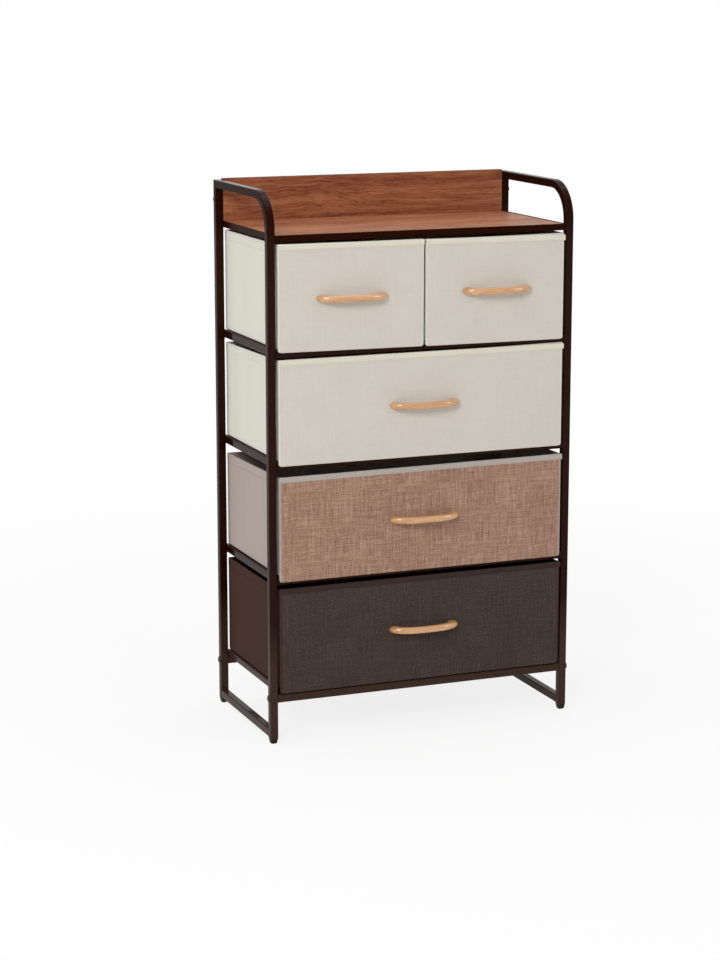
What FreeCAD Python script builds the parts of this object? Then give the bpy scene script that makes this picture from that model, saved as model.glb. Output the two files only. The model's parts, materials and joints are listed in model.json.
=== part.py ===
import FreeCAD, Part
import math
import os
import Sketcher

# Fabric drawer dresser: a square-tube steel frame with five fabric drawers.
# +X is the dresser's right, -Y its front and +Z up. Millimetres.
# The origin is on the floor, under the middle of the whole outline.

doc = FreeCAD.newDocument("fabric_drawer_dresser")

# ---------------------------------------------------------------- driving dimensions
DIMENSIONS = {
    # steel frame
    "frameWidth": 600.0,
    "frameDepth": 296.0,
    "railTopHeight": 1007.5,
    "tubeSize": 15.0,
    "tubeWall": 1.2,
    "tubeCorner": 2.2,
    "bendRadius": 62.5,
    "footHeight": 11.0,
    "footTip": 11.6,
    "footBevel": 1.2,
    "spigotSize": 12.2,
    "spigotHeight": 14.0,
    # heights of the undersides of the cross rails, lowest first
    "railOne": 77.5,
    "railTwo": 298.0,
    "railThree": 510.0,
    "railFour": 712.0,
    "lowRunnerHeight": 12.5,
    "lowRunnerLength": 281.0,
    # shelf and boards
    "shelfUnderside": 919.5,
    "angleHeight": 12.0,
    "angleFlange": 14.0,
    "angleWall": 1.5,
    "boardGap": 0.2,
    "topBoardThick": 9.5,
    "backBoardThick": 12.0,
    "backBoardTop": 1010.0,
    # fabric drawers
    "seatGap": 0.5,
    "panelSideGap": 3.0,
    "panelBackGap": 0.4,
    "panelThick": 4.8,
    "panelHeight": 195.0,
    "panelDrop": 9.0,
    "panelCorner": 6.0,
    "panelEdge": 1.4,
    "halfSplit": 2.0,
    "binInset": 1.0,
    "binHeight": 183.0,
    "binDepth": 289.0,
    "binWall": 1.6,
    "baseBoardThick": 3.0,
    "baseBoardGap": 0.8,
    "bindingHeight": 10.0,
    "bindingThick": 0.6,
    "drawerTravel": 260.0,
    # bow handles and their screws
    "handleSpan": 128.0,
    "handleReach": 22.0,
    "handleEndRadius": 14.0,
    "handleTall": 12.4,
    "handleDeep": 10.0,
    "handleCorner": 4.6,
    "screwHole": 4.2,
    "screwShank": 4.0,
    "screwHead": 9.0,
    "screwHeadThick": 2.2,
    "screwBite": 7.0,
    # bolts of the frame
    "baseBoltHeight": 85.0,
    "baseBoltShank": 6.0,
    "baseBoltHead": 14.0,
    "baseBoltHeadThick": 3.2,
    "railNutLength": 14.0,
    "boardBoltHeight": 972.0,
    "boardBoltShank": 5.0,
    "boardBoltHead": 10.0,
    "boardBoltHeadThick": 2.6,
    "boardBoltBite": 18.0,
    "boltClearance": 0.2,
}

sheet = doc.addObject("Spreadsheet::Sheet", "Dims")
for row, (alias, value) in enumerate(DIMENSIONS.items(), start=1):
    sheet.set(f"A{row}", alias)
    sheet.set(f"B{row}", str(value))
    sheet.setAlias(f"B{row}", alias)
doc.recompute()


def dim(alias):
    """The value of one driving dimension, as the sheet holds it."""
    return float(sheet.get(alias))


# Lengths that follow from the driving ones, as expressions on the sheet.
HALF_TUBE = "Dims.tubeSize / 2"
POST_X = "(Dims.frameWidth - Dims.tubeSize) / 2"
INNER_WIDTH = "(Dims.frameWidth - 2 * Dims.tubeSize)"
INNER_DEPTH = "(Dims.frameDepth - 2 * Dims.tubeSize)"
HANDLE_PROUD = "(Dims.handleReach + Dims.handleDeep / 2)"
MIDDLE_Y = f"((Dims.panelBackGap + Dims.panelThick + {HANDLE_PROUD}) / 2)"
FRONT_POST_Y = f"({MIDDLE_Y} - (Dims.frameDepth - Dims.tubeSize) / 2)"
REAR_POST_Y = f"({MIDDLE_Y} + (Dims.frameDepth - Dims.tubeSize) / 2)"
SHELF_TOP = "(Dims.shelfUnderside + Dims.angleHeight)"
BOARD_EDGE = "(Dims.angleWall + Dims.boardGap)"
BOARD_MIDDLE = f"({HALF_TUBE} - {BOARD_EDGE} - Dims.backBoardThick / 2)"
PANEL_BACK_Y = f"({MIDDLE_Y} - Dims.frameDepth / 2 - Dims.panelBackGap)"
RAILS = ["railOne", "railTwo", "railThree", "railFour"]

MITRE_PAST = 2.0  # how far the mitre's cut runs past the tube

nodes = []


# ---------------------------------------------------------------- shared helpers
def keep(item, label):
    """Registers a finished piece as one named node of the model."""
    item.Label = label
    nodes.append(item)
    return item


def place(item, x="0", y="0", z="0"):
    for axis, expression in zip("xyz", (x, y, z)):
        item.setExpression(f"Placement.Base.{axis}", expression)


def new_body(name):
    return doc.addObject("PartDesign::Body", name)


def new_sketch(body, plane, name):
    sketch = body.newObject("Sketcher::SketchObject", name)
    origin_planes = {feature.Role: feature for feature in body.Origin.OriginFeatures}
    sketch.AttachmentSupport = (origin_planes[plane], [""])
    sketch.MapMode = "FlatFace"
    return sketch


def bind(sketch, kind, places, name, expression, start):
    """Adds a driving constraint whose value is an expression on the sheet."""
    index = sketch.addConstraint(Sketcher.Constraint(kind, *places, start))
    sketch.renameConstraint(index, name)
    sketch.setExpression(f"Constraints.{name}", expression)


def add_rectangle(sketch, prefix, width, height):
    """A rectangle centred on the sketch's origin."""
    corners = [(-5, -4), (5, -4), (5, 4), (-5, 4)]
    first = sketch.GeometryCount
    for index, corner in enumerate(corners):
        following = corners[(index + 1) % 4]
        sketch.addGeometry(Part.LineSegment(FreeCAD.Vector(*corner, 0), FreeCAD.Vector(*following, 0)))
    for index in range(4):
        sketch.addConstraint(
            Sketcher.Constraint("Coincident", first + index, 2, first + (index + 1) % 4, 1))
    for index, kind in enumerate(["Horizontal", "Vertical", "Horizontal", "Vertical"]):
        sketch.addConstraint(Sketcher.Constraint(kind, first + index))
    sketch.addConstraint(Sketcher.Constraint("Symmetric", first, 1, first + 1, 2, -1, 1))
    bind(sketch, "DistanceX", (first, 1, first, 2), prefix + "Width", width, 10)
    bind(sketch, "DistanceY", (first + 1, 1, first + 1, 2), prefix + "Height", height, 8)


def add_rounded_rectangle(sketch, prefix, width, height, corner):
    """A rectangle centred on the sketch's origin, its corners rounded by tangent arcs."""
    radius = 1.0
    centres = [(-4, -3), (4, -3), (4, 3), (-4, 3)]
    first = sketch.GeometryCount
    for index, centre in enumerate(centres):
        circle = Part.Circle(FreeCAD.Vector(*centre, 0), FreeCAD.Vector(0, 0, 1), radius)
        start = math.pi + index * math.pi / 2
        sketch.addGeometry(Part.ArcOfCircle(circle, start, start + math.pi / 2))
        outward = FreeCAD.Vector(math.cos(start + math.pi / 2), math.sin(start + math.pi / 2), 0) * radius
        following = centres[(index + 1) % 4]
        sketch.addGeometry(Part.LineSegment(FreeCAD.Vector(*centre, 0) + outward,
                                            FreeCAD.Vector(*following, 0) + outward))
    for index in range(4):
        arc = first + 2 * index
        following = first + 2 * ((index + 1) % 4)
        sketch.addConstraint(Sketcher.Constraint("Tangent", arc, 2, arc + 1, 1))
        sketch.addConstraint(Sketcher.Constraint("Tangent", arc + 1, 2, following, 1))
        if index:
            sketch.addConstraint(Sketcher.Constraint("Equal", first, arc))
    for index, kind in enumerate(["Horizontal", "Vertical", "Horizontal", "Vertical"]):
        sketch.addConstraint(Sketcher.Constraint(kind, first + 2 * index + 1))
    sketch.addConstraint(Sketcher.Constraint("Symmetric", first, 3, first + 4, 3, -1, 1))
    bind(sketch, "Radius", (first,), prefix + "Corner", corner, radius)
    bind(sketch, "DistanceX", (first, 3, first + 2, 3), prefix + "Width", f"{width} - 2 * {corner}", 8)
    bind(sketch, "DistanceY", (first + 2, 3, first + 4, 3), prefix + "Height", f"{height} - 2 * {corner}", 6)


def add_tube_section(sketch, height="Dims.tubeSize"):
    """The hollow section that all the frame's tubes share."""
    add_rounded_rectangle(sketch, "outer", "Dims.tubeSize", height, "Dims.tubeCorner")
    add_rectangle(sketch, "inner", "Dims.tubeSize - 2 * Dims.tubeWall", f"{height} - 2 * Dims.tubeWall")


def add_circle(sketch, name, diameter, x="0", y="0"):
    first = sketch.GeometryCount
    sketch.addGeometry(Part.Circle(FreeCAD.Vector(1, 1, 0), FreeCAD.Vector(0, 0, 1), 2))
    bind(sketch, "Diameter", (first,), name, diameter, 4)
    for kind, axis, offset in (("DistanceX", "AcrossX", x), ("DistanceY", "AcrossY", y)):
        bind(sketch, kind, (-1, 1, first, 3), name + axis, offset, 1)


def add_polygon(sketch, corners):
    """A closed outline through fixed corners."""
    first = sketch.GeometryCount
    count = len(corners)
    for index, corner in enumerate(corners):
        following = corners[(index + 1) % count]
        sketch.addGeometry(Part.LineSegment(FreeCAD.Vector(*corner, 0), FreeCAD.Vector(*following, 0)))
    for index in range(count):
        sketch.addConstraint(
            Sketcher.Constraint("Coincident", first + index, 2, first + (index + 1) % count, 1))


def pad(body, sketch, length, centred=False):
    feature = body.newObject("PartDesign::Pad", sketch.Name + "Pad")
    feature.Profile = sketch
    if centred:
        feature.SideType = "Symmetric"
    feature.setExpression("Length", length)
    sketch.Visibility = False
    return feature


def pocket(body, sketch, length, centred=False, reversed_side=False):
    """Cuts the sketch out of the body, and stops if nothing is cut."""
    doc.recompute()
    before = body.Shape.Volume
    feature = body.newObject("PartDesign::Pocket", sketch.Name + "Pocket")
    feature.Profile = sketch
    feature.Reversed = reversed_side
    if centred:
        feature.SideType = "Symmetric"
    feature.setExpression("Length", length)
    sketch.Visibility = False
    doc.recompute()
    if body.Shape.Volume > before - 1e-3:
        raise RuntimeError(f"{body.Name}: {feature.Name} cuts nothing")
    return feature


def round_edges(body, radius, chosen):
    """Fillets the edges that a test picks from the body's last feature."""
    doc.recompute()
    base = body.Tip
    names = [f"Edge{number}" for number, edge in enumerate(base.Shape.Edges, start=1) if chosen(edge)]
    if not names:
        raise RuntimeError(f"{body.Name}: no edge to round")
    feature = body.newObject("PartDesign::Fillet", f"{body.Name}Rounding{len(body.Group)}")
    feature.Base = (base, names)
    feature.setExpression("Radius", radius)
    doc.recompute()
    return feature


def runs_along(edge, axis):
    """Whether a straight edge is parallel to an axis of the body."""
    if not isinstance(edge.Curve, Part.Line):
        return False
    return abs(abs(getattr(edge.Curve.Direction, axis)) - 1) < 1e-6


def mirror(source, name, across, base="0"):
    """A mirrored copy: across is the axis that changes sign, base where the mirror stands."""
    copy = doc.addObject("Part::Mirroring", name)
    copy.Source = source
    copy.Normal = FreeCAD.Vector(*(float(axis == across) for axis in "xyz"))
    copy.setExpression(f"Base.{across}", base)
    return copy


def group(label, members):
    """Sewn sheets, or identical fasteners or caps, as separate solids of one node."""
    compound = doc.addObject("Part::Compound", label)
    compound.Links = members
    return keep(compound, label)


# ---------------------------------------------------------------- steel frame
def square_tube(label, axis, length, x, y, z, height="Dims.tubeSize"):
    """A hollow square tube, centred on its place, with rounded long corners."""
    body = new_body(label)
    plane = {"x": "YZ_Plane", "y": "XZ_Plane", "z": "XY_Plane"}[axis]
    sketch = new_sketch(body, plane, label + "Section")
    add_tube_section(sketch, height)
    pad(body, sketch, length, centred=True)
    place(body, x, y, z)
    return body


def mitre(body, corners):
    """Cuts the tube's end at 45 degrees where the rail and the rear post meet."""
    sketch = new_sketch(body, "YZ_Plane", body.Name + "Mitre")
    add_polygon(sketch, corners)
    pocket(body, sketch, "2 * Dims.tubeSize", centred=True)


def bolt_hole(body, diameter, y, z):
    sketch = new_sketch(body, "YZ_Plane", f"{body.Name}Hole{len(body.Group)}")
    add_circle(sketch, "hole", diameter, y, z)
    pocket(body, sketch, "2 * Dims.tubeSize", centred=True)


def bent_rail(side, sign):
    """Front post and top rail: one tube, bent once at the top front corner.

    The body's origin is on the post's axis at floor level.
    """
    body = new_body(side + "_bent_rail")
    reach = dim("frameDepth") - dim("tubeSize") / 2
    middle = dim("railTopHeight") - dim("tubeSize") / 2
    bend = dim("bendRadius")
    foot = dim("footHeight")

    path = new_sketch(body, "YZ_Plane", side + "BendPath")
    post = Part.LineSegment(FreeCAD.Vector(0, foot, 0), FreeCAD.Vector(0, middle - bend, 0))
    corner = Part.Circle(FreeCAD.Vector(bend, middle - bend, 0), FreeCAD.Vector(0, 0, 1), bend)
    rail = Part.LineSegment(FreeCAD.Vector(bend, middle, 0), FreeCAD.Vector(reach, middle, 0))
    path.addGeometry(post)
    path.addGeometry(Part.ArcOfCircle(corner, math.pi / 2, math.pi))
    path.addGeometry(rail)
    path.addConstraint(Sketcher.Constraint("Vertical", 0))
    path.addConstraint(Sketcher.Constraint("PointOnObject", 0, 1, -2))
    path.addConstraint(Sketcher.Constraint("Tangent", 0, 2, 1, 2))
    path.addConstraint(Sketcher.Constraint("Tangent", 1, 1, 2, 1))
    path.addConstraint(Sketcher.Constraint("Horizontal", 2))
    bind(path, "DistanceY", (-1, 1, 0, 1), "foot", "Dims.footHeight", foot)
    bind(path, "Radius", (1,), "bend", "Dims.bendRadius", bend)
    bind(path, "DistanceY", (-1, 1, 2, 1), "rise", "Dims.railTopHeight - Dims.tubeSize / 2", middle)
    bind(path, "DistanceX", (-1, 1, 2, 2), "reach", "Dims.frameDepth - Dims.tubeSize / 2", reach)

    section = new_sketch(body, "XY_Plane", side + "BendSection")
    section.AttachmentOffset = FreeCAD.Placement(FreeCAD.Vector(0, 0, foot), FreeCAD.Rotation())
    section.setExpression("AttachmentOffset.Base.z", "Dims.footHeight")
    add_tube_section(section)
    pipe = body.newObject("PartDesign::AdditivePipe", side + "BendPipe")
    pipe.Profile = section
    pipe.Spine = path
    pipe.Mode = "Frenet"
    inner = reach - dim("tubeSize")
    low = middle - dim("tubeSize") / 2
    beyond = reach + MITRE_PAST
    mitre(body, [(inner, low), (beyond, low - MITRE_PAST), (beyond, low + dim("tubeSize") + MITRE_PAST)])
    bolt_hole(body, "Dims.baseBoltShank + 2 * Dims.boltClearance", "0", "Dims.baseBoltHeight")
    place(body, f"{sign} * {POST_X}", FRONT_POST_Y)
    keep(body, body.Name)


def rear_post(side, sign):
    """Rear post, mitred to the top rail. Its origin is on its axis at floor level."""
    label = side + "_rear_post"
    body = new_body(label)
    section = new_sketch(body, "XY_Plane", side + "PostSection")
    section.setExpression("AttachmentOffset.Base.z", "Dims.footHeight")
    add_tube_section(section)
    pad(body, section, "Dims.railTopHeight - Dims.footHeight")
    half = dim("tubeSize") / 2
    top = dim("railTopHeight")
    mitre(body, [(-half, top - 2 * half), (half + MITRE_PAST, top + MITRE_PAST), (-half, top + MITRE_PAST)])
    bolt_hole(body, "Dims.baseBoltShank + 2 * Dims.boltClearance", "0", "Dims.baseBoltHeight")
    bolt_hole(body, "Dims.boardBoltShank + 2 * Dims.boltClearance", BOARD_MIDDLE, "Dims.boardBoltHeight")
    place(body, f"{sign} * {POST_X}", REAR_POST_Y)
    keep(body, label)


def side_frames():
    for side, sign in (("left", -1), ("right", 1)):
        bent_rail(side, sign)
        rear_post(side, sign)
        foot = square_tube(side + "_foot_rail", "y", INNER_DEPTH, f"{sign} * {POST_X}", MIDDLE_Y,
                           f"Dims.footHeight + {HALF_TUBE}")
        keep(foot, foot.Name)


def cross_rails():
    for number, rail in enumerate(RAILS, start=1):
        for end, y in (("front", FRONT_POST_Y), ("rear", REAR_POST_Y)):
            tube = square_tube(f"{end}_rail_{number}", "x", INNER_WIDTH, "0", y, f"Dims.{rail} + {HALF_TUBE}")
            keep(tube, tube.Name)


def runner_top(number):
    """Height of the top of a row's runners, as an expression. Row 1 is the lowest."""
    if number == 1:
        return "(Dims.railOne + Dims.tubeSize + Dims.lowRunnerHeight)"
    return f"(Dims.{RAILS[number - 1]} + Dims.tubeSize)"


def runners():
    """Side tubes that carry the drawers, just inside the posts.

    The lowest pair lies on its cross rails, and the others are welded between theirs.
    """
    inset = f"({INNER_WIDTH} / 2 - {HALF_TUBE})"
    for number in range(1, 5):
        lowest = number == 1
        length = "Dims.lowRunnerLength" if lowest else INNER_DEPTH
        height = "Dims.lowRunnerHeight" if lowest else "Dims.tubeSize"
        for side, sign in (("left", -1), ("right", 1)):
            tube = square_tube(f"{side}_runner_{number}", "y", length, f"{sign} * {inset}", MIDDLE_Y,
                               f"{runner_top(number)} - {height} / 2", height)
            keep(tube, tube.Name)
    middle = square_tube("centre_runner", "y", INNER_DEPTH, "0", MIDDLE_Y, f"{runner_top(4)} - {HALF_TUBE}")
    keep(middle, middle.Name)


def foot_caps():
    """Plastic caps: a tapered foot with a spigot up the post, one under each post."""
    body = new_body("foot_cap")
    levels = [
        ("capSole", "0", "Dims.footTip - 2 * Dims.footBevel"),
        ("capTip", "Dims.footBevel", "Dims.footTip"),
        ("capTop", "Dims.footHeight", "Dims.tubeSize"),
    ]
    sections = []
    for name, height, size in levels:
        section = new_sketch(body, "XY_Plane", name)
        section.setExpression("AttachmentOffset.Base.z", height)
        add_rounded_rectangle(section, "level", size, size, "Dims.tubeCorner")
        section.Visibility = False
        sections.append(section)
    taper = body.newObject("PartDesign::AdditiveLoft", "capTaper")
    taper.Profile = sections[0]
    taper.Sections = sections[1:]
    taper.Ruled = True
    spigot = new_sketch(body, "XY_Plane", "capSpigot")
    spigot.setExpression("AttachmentOffset.Base.z", "Dims.footHeight")
    add_rectangle(spigot, "spigot", "Dims.spigotSize", "Dims.spigotSize")
    pad(body, spigot, "Dims.spigotHeight")
    place(body, f"-({POST_X})", FRONT_POST_Y)
    group("foot_caps", four_corners(body))


def four_corners(source):
    """The front left piece and its copies at the other three posts."""
    right = mirror(source, source.Name + "Right", "x")
    rear = mirror(source, source.Name + "Rear", "y", MIDDLE_Y)
    return [source, right, rear, mirror(rear, source.Name + "RearRight", "x")]


def bolt(family, length):
    """A button-head bolt along +X, its head's underside at the body's origin.

    The family names its dimensions: baseBolt or boardBolt.
    """
    body = new_body(family)
    stem = new_sketch(body, "YZ_Plane", family + "Stem")
    add_circle(stem, "stem", f"Dims.{family}Shank")
    pad(body, stem, length)
    cap = new_sketch(body, "YZ_Plane", family + "Cap")
    add_circle(cap, "cap", f"Dims.{family}Head")
    head = pad(body, cap, f"Dims.{family}HeadThick")
    head.Reversed = True
    doc.recompute()
    outside = -dim(family + "HeadThick")
    rims = [f"Edge{number}" for number, edge in enumerate(head.Shape.Edges, start=1)
            if edge.BoundBox.XMax < outside + 0.01]
    bevel = body.newObject("PartDesign::Chamfer", family + "Bevel")
    bevel.Base = (head, rims)
    bevel.setExpression("Size", f"Dims.{family}HeadThick * 0.6")
    return body


def frame_bolts():
    base = bolt("baseBolt", "Dims.tubeSize + Dims.railNutLength")
    place(base, "-(Dims.frameWidth / 2)", FRONT_POST_Y, "Dims.baseBoltHeight")
    group("base_bolts", four_corners(base))

    nut = new_body("rail_nut")
    sketch = new_sketch(nut, "YZ_Plane", "nutSection")
    add_rectangle(sketch, "nut", "Dims.spigotSize", "Dims.spigotSize")
    add_circle(sketch, "thread", "Dims.baseBoltShank + Dims.boltClearance")
    pad(nut, sketch, "Dims.railNutLength")
    place(nut, f"-({INNER_WIDTH} / 2)", FRONT_POST_Y, "Dims.baseBoltHeight")
    group("rail_nuts", four_corners(nut))

    board = bolt("boardBolt", "Dims.tubeSize + Dims.boardBoltBite")
    place(board, "-(Dims.frameWidth / 2)", f"{REAR_POST_Y} + {BOARD_MIDDLE}", "Dims.boardBoltHeight")
    group("board_bolts", [board, mirror(board, "boardBoltRight", "x")])


# ---------------------------------------------------------------- shelf and boards
def shelf_frame():
    """A ring of steel angle between the posts, open at the top to take the board."""
    body = new_body("shelf_frame")
    outline = new_sketch(body, "XY_Plane", "shelfOutline")
    add_rectangle(outline, "outline", INNER_WIDTH, "Dims.frameDepth")
    pad(body, outline, "Dims.angleHeight")
    seat = new_sketch(body, "XY_Plane", "shelfSeat")
    seat.setExpression("AttachmentOffset.Base.z", "Dims.angleWall")
    add_rectangle(seat, "seat", f"{INNER_WIDTH} - 2 * Dims.angleWall", "Dims.frameDepth - 2 * Dims.angleWall")
    pocket(body, seat, "Dims.angleHeight", reversed_side=True)
    window = new_sketch(body, "XY_Plane", "shelfWindow")
    add_rectangle(window, "window", f"{INNER_WIDTH} - 2 * Dims.angleFlange",
                  "Dims.frameDepth - 2 * Dims.angleFlange")
    pocket(body, window, "2 * Dims.angleWall", reversed_side=True)
    place(body, y=MIDDLE_Y, z="Dims.shelfUnderside")
    keep(body, "shelf_frame")


def boards():
    """The shelf's board and the backboard behind it, both seated in the angle."""
    width = f"({INNER_WIDTH} - 2 * {BOARD_EDGE})"
    depth = f"(Dims.frameDepth - 2 * {BOARD_EDGE} - Dims.backBoardThick - Dims.boardGap)"
    seat = "(Dims.shelfUnderside + Dims.angleWall)"
    top = doc.addObject("Part::Box", "top_board")
    top.setExpression("Length", width)
    top.setExpression("Width", depth)
    top.setExpression("Height", "Dims.topBoardThick")
    place(top, f"-{width} / 2", f"{MIDDLE_Y} - Dims.frameDepth / 2 + {BOARD_EDGE}", seat)
    keep(top, "top_board")

    back = new_body("back_board")
    outline = new_sketch(back, "YZ_Plane", "backOutline")
    add_rectangle(outline, "outline", "Dims.backBoardThick", f"Dims.backBoardTop - {SHELF_TOP}")
    pad(back, outline, INNER_WIDTH, centred=True)
    tongue = new_sketch(back, "YZ_Plane", "backTongue")
    tongue.setExpression("AttachmentOffset.Base.y", f"({seat} - Dims.backBoardTop) / 2")
    add_rectangle(tongue, "tongue", "Dims.backBoardThick", f"{SHELF_TOP} - {seat}")
    pad(back, tongue, width, centred=True)
    for side, backwards in (("Left", False), ("Right", True)):
        end = new_sketch(back, "YZ_Plane", "backEnd" + side)
        end.setExpression("AttachmentOffset.Base.z", f"{'' if backwards else '-'}{INNER_WIDTH} / 2")
        add_circle(end, "hole", "Dims.boardBoltShank + Dims.boltClearance", "0",
                   f"Dims.boardBoltHeight - (Dims.backBoardTop + {SHELF_TOP}) / 2")
        pocket(back, end, "Dims.boardBoltBite + 2", reversed_side=not backwards)
    place(back, y=f"{REAR_POST_Y} + {BOARD_MIDDLE}", z=f"(Dims.backBoardTop + {SHELF_TOP}) / 2")
    keep(back, "back_board")


# ---------------------------------------------------------------- fabric drawers
# name, row of runners it rests on, left edge and right edge of its front panel
WIDE_HALF = f"({INNER_WIDTH} / 2 - Dims.panelSideGap)"
DRAWERS = [
    ("upper_left", 4, f"-{WIDE_HALF}", "-Dims.halfSplit"),
    ("upper_right", 4, "Dims.halfSplit", WIDE_HALF),
    ("second", 3, f"-{WIDE_HALF}", WIDE_HALF),
    ("third", 2, f"-{WIDE_HALF}", WIDE_HALF),
    ("bottom", 1, f"-{WIDE_HALF}", WIDE_HALF),
]


def bin_sheet(name, lengths, corner):
    """One plain sheet of a bin, from its lowest corner."""
    piece = doc.addObject("Part::Box", name)
    for side, length in zip(("Length", "Width", "Height"), lengths):
        piece.setExpression(side, length)
    place(piece, *corner)
    return piece


def fabric_bin(name, width, middle, floor):
    """Open-topped bin sewn from five sheets: a bottom, a rear, two sides and a front with the screw holes."""
    wall = "Dims.binWall"
    wide = f"({width} - 2 * Dims.binInset)"
    tall = f"(Dims.binHeight - {wall})"
    left = f"({middle} - {wide} / 2)"
    above = f"({floor} + {wall})"
    rear_y = f"({PANEL_BACK_Y} + Dims.binDepth - {wall})"
    bottom = bin_sheet(name + "BinBottom", (wide, "Dims.binDepth", wall), (left, PANEL_BACK_Y, floor))
    rear = bin_sheet(name + "BinRear", (wide, wall, tall), (left, rear_y, above))
    side = bin_sheet(name + "BinLeft", (wall, f"Dims.binDepth - 2 * {wall}", tall),
                     (left, f"{PANEL_BACK_Y} + {wall}", above))
    front = new_body(name + "BinFront")
    outline = new_sketch(front, "XZ_Plane", name + "BinFrontOutline")
    add_rectangle(outline, "outline", wide, tall)
    for end, sign in (("left", -1), ("right", 1)):
        add_circle(outline, end, "Dims.screwHole", f"{sign} * Dims.handleSpan / 2",
                   f"Dims.panelHeight / 2 - Dims.panelDrop - (Dims.binHeight + {wall}) / 2")
    pad(front, outline, wall)
    place(front, middle, f"{PANEL_BACK_Y} + {wall}", f"{above} + {tall} / 2")
    group(name + "_bin", [bottom, front, side, mirror(side, name + "BinRight", "x", middle), rear])


def front_panel(name, width, middle, bottom):
    """Stiff board in a linen cover, rounded at its lower corners and along its front edges."""
    body = new_body(name + "_front_panel")
    height = "(Dims.panelHeight - Dims.bindingThick)"
    outline = new_sketch(body, "XZ_Plane", name + "PanelOutline")
    add_rectangle(outline, "outline", width, height)
    for end, sign in (("left", -1), ("right", 1)):
        add_circle(outline, end, "Dims.screwHole", f"{sign} * Dims.handleSpan / 2",
                   "Dims.bindingThick / 2")
    pad(body, outline, "Dims.panelThick")

    def lower_corner(edge):
        return runs_along(edge, "y") and edge.CenterOfMass.z < 0 and abs(edge.CenterOfMass.x) > dim("handleSpan")

    round_edges(body, "Dims.panelCorner", lower_corner)
    front = -dim("panelThick")
    top = (dim("panelHeight") - dim("bindingThick")) / 2

    def front_rim(edge):
        box = edge.BoundBox
        on_face = box.YMax < front + 0.01
        around_hole = box.XLength < 10 and box.ZLength < 10 and abs(edge.CenterOfMass.z) < 20
        return on_face and not around_hole and box.ZMin < top - 0.01

    round_edges(body, "Dims.panelEdge", front_rim)
    place(body, middle, PANEL_BACK_Y, f"{bottom} + {height} / 2")
    keep(body, body.Name)


def rim_binding(name, width, middle, bottom):
    """Plain tape folded over the panel's top edge."""
    body = new_body(name + "_rim_binding")
    profile = new_sketch(body, "YZ_Plane", name + "BindingProfile")
    thick = dim("bindingThick")
    deep = dim("panelThick")
    tall = dim("bindingHeight")
    corners = [(0, 0), (0, -thick), (-deep, -thick), (-deep, -tall), (-deep - thick, -tall),
               (-deep - thick, 0)]
    add_polygon(profile, corners)
    pad(body, profile, width, centred=True)
    place(body, middle, PANEL_BACK_Y, f"{bottom} + Dims.panelHeight")
    keep(body, body.Name)


def base_board(name, width, middle, floor):
    """Loose stiffener that lies on the bin's floor."""
    board = doc.addObject("Part::Box", name + "_base_board")
    margin = "2 * (Dims.binWall + Dims.baseBoardGap + Dims.screwHeadThick)"
    length = f"({width} - 2 * Dims.binInset - {margin})"
    deep = f"(Dims.binDepth - {margin})"
    board.setExpression("Length", length)
    board.setExpression("Width", deep)
    board.setExpression("Height", "Dims.baseBoardThick")
    place(board, f"{middle} - {length} / 2", f"{PANEL_BACK_Y} + Dims.binDepth / 2 - {deep} / 2",
          f"{floor} + Dims.binWall")
    keep(board, board.Name)


def bow_handle(name, middle, height):
    """Bow pull: one long shallow arc that two tight arcs turn into the panel.

    The path lies in the body's XY plane with its feet on the X axis.
    """
    body = new_body(name + "_handle")
    half = dim("handleSpan") / 2
    reach = dim("handleReach")
    tight = dim("handleEndRadius")
    wide = ((half - tight) ** 2 + reach ** 2 - tight ** 2) / (2 * (reach - tight))
    turn = math.atan2(wide - reach, half - tight)
    up = FreeCAD.Vector(0, 0, 1)
    left = Part.Circle(FreeCAD.Vector(tight - half, 0, 0), up, tight)
    bow = Part.Circle(FreeCAD.Vector(0, wide - reach, 0), up, wide)
    right = Part.Circle(FreeCAD.Vector(half - tight, 0, 0), up, tight)

    path = new_sketch(body, "XY_Plane", name + "HandlePath")
    path.addGeometry(Part.ArcOfCircle(left, math.pi, math.pi + turn))
    path.addGeometry(Part.ArcOfCircle(bow, math.pi + turn, 2 * math.pi - turn))
    path.addGeometry(Part.ArcOfCircle(right, 2 * math.pi - turn, 2 * math.pi))
    path.addConstraint(Sketcher.Constraint("Tangent", 0, 2, 1, 1))
    path.addConstraint(Sketcher.Constraint("Tangent", 1, 2, 2, 1))
    for arc, point in ((0, 1), (0, 3), (2, 2), (2, 3)):
        path.addConstraint(Sketcher.Constraint("PointOnObject", arc, point, -1))
    path.addConstraint(Sketcher.Constraint("PointOnObject", 1, 3, -2))
    path.addConstraint(Sketcher.Constraint("Equal", 0, 2))
    bind(path, "Radius", (0,), "tight", "Dims.handleEndRadius", tight)
    bind(path, "DistanceX", (0, 1, 2, 2), "span", "Dims.handleSpan", 2 * half)
    path.addConstraint(Sketcher.Constraint("Radius", 1, wide))

    section = new_sketch(body, "XZ_Plane", name + "HandleSection")
    section.setExpression("AttachmentOffset.Base.x", "-(Dims.handleSpan / 2)")
    add_rounded_rectangle(section, "bar", "Dims.handleDeep", "Dims.handleTall", "Dims.handleCorner")
    pipe = body.newObject("PartDesign::AdditivePipe", name + "HandlePipe")
    pipe.Profile = section
    pipe.Spine = path
    pipe.Mode = "Frenet"
    doc.recompute()
    for end, sign in (("Left", -1), ("Right", 1)):
        drill = new_sketch(body, "XZ_Plane", name + "HandleDrill" + end)
        add_circle(drill, "drill", "Dims.screwHole", f"{sign} * Dims.handleSpan / 2")
        pocket(body, drill, "Dims.screwBite + 1", reversed_side=True)
    place(body, middle, f"{PANEL_BACK_Y} - Dims.panelThick", height)
    keep(body, body.Name)


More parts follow.
